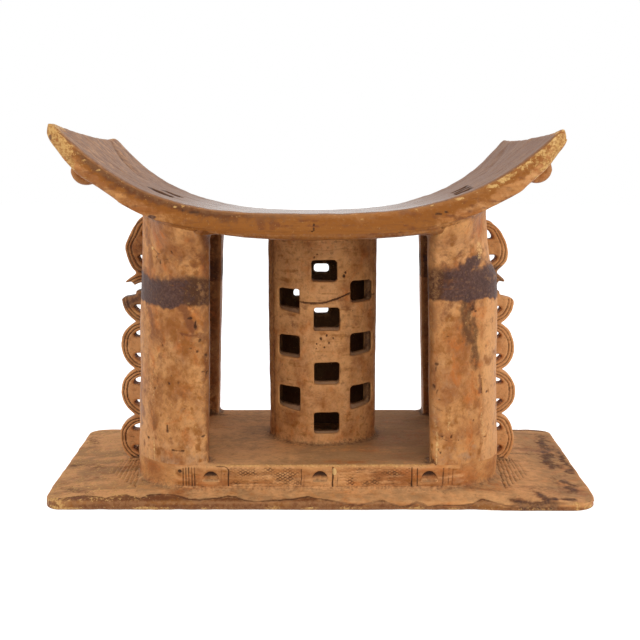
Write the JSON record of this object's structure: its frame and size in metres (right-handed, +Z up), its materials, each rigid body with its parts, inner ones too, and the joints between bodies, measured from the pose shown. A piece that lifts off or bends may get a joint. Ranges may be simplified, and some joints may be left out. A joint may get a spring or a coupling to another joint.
{
  "type": "ashanti stool",
  "caption": "Low carved wooden stool with a crescent seat on a pierced hollow column, gutter-shaped corner posts and lobed openwork end fins, over a stepped rectangular base.",
  "frame": {"origin": "middle of the underside of the base plate, on the floor", "axes": "+X along the length of the stool to the right, +Y to the back, +Z up"},
  "size_m": [0.5728, 0.264, 0.3763],
  "materials": {
    "seat_wood": "dark seat top polished by use, with an ochre rim worn through to lighter wood",
    "carved_wood": "waxed warm brown wood with knife marks, pits and a dark stain band round the posts",
    "base_wood": "dusty olive brown wood with incised lines and worn golden edges"
  },
  "bodies": {
    "root": {"base_plate": "base_wood", "base_step": "base_wood", "seat": "seat_wood", "seat_keel": "carved_wood", "center_column": "carved_wood", "post_front_left": "carved_wood", "post_back_left": "carved_wood", "post_front_right": "carved_wood", "post_back_right": "carved_wood", "end_fin_left": "carved_wood", "end_fin_right": "carved_wood", "grip_lug_left": "carved_wood", "grip_lug_right": "carved_wood"}
  },
  "joints": []
}
